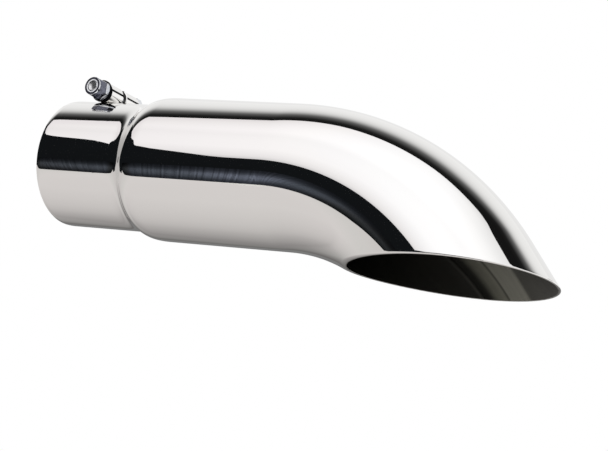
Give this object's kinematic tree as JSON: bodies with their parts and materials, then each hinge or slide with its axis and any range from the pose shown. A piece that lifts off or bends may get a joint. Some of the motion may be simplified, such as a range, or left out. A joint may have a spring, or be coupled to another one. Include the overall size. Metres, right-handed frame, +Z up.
{
  "type": "exhaust tip",
  "caption": "Turn-down exhaust tip: a polished bent tube with a level-cut outlet, necked down to a split inlet collar that a cross bolt clamps onto the tailpipe.",
  "frame": {"origin": "centre of the inlet collar's mouth, on the collar's axis", "axes": "+X along the collar from the mouth into the tip, towards the outlet's toe; +Z up, away from the outlet, which faces -Z"},
  "size_m": [0.3049, 0.0762, 0.0901],
  "materials": {
    "polished_steel": "mirror-polished stainless steel",
    "plated_steel": "bright zinc plate",
    "dark_nylon": "moulded, dark blue"
  },
  "bodies": {
    "root": {"tip_body": "polished_steel", "inlet_collar": "polished_steel", "clamp_barrel_near": "polished_steel", "clamp_barrel_far": "polished_steel", "clamp_bolt": "plated_steel", "clamp_washer": "plated_steel", "clamp_nut": "plated_steel", "nut_lock_ring": "dark_nylon"}
  },
  "joints": []
}
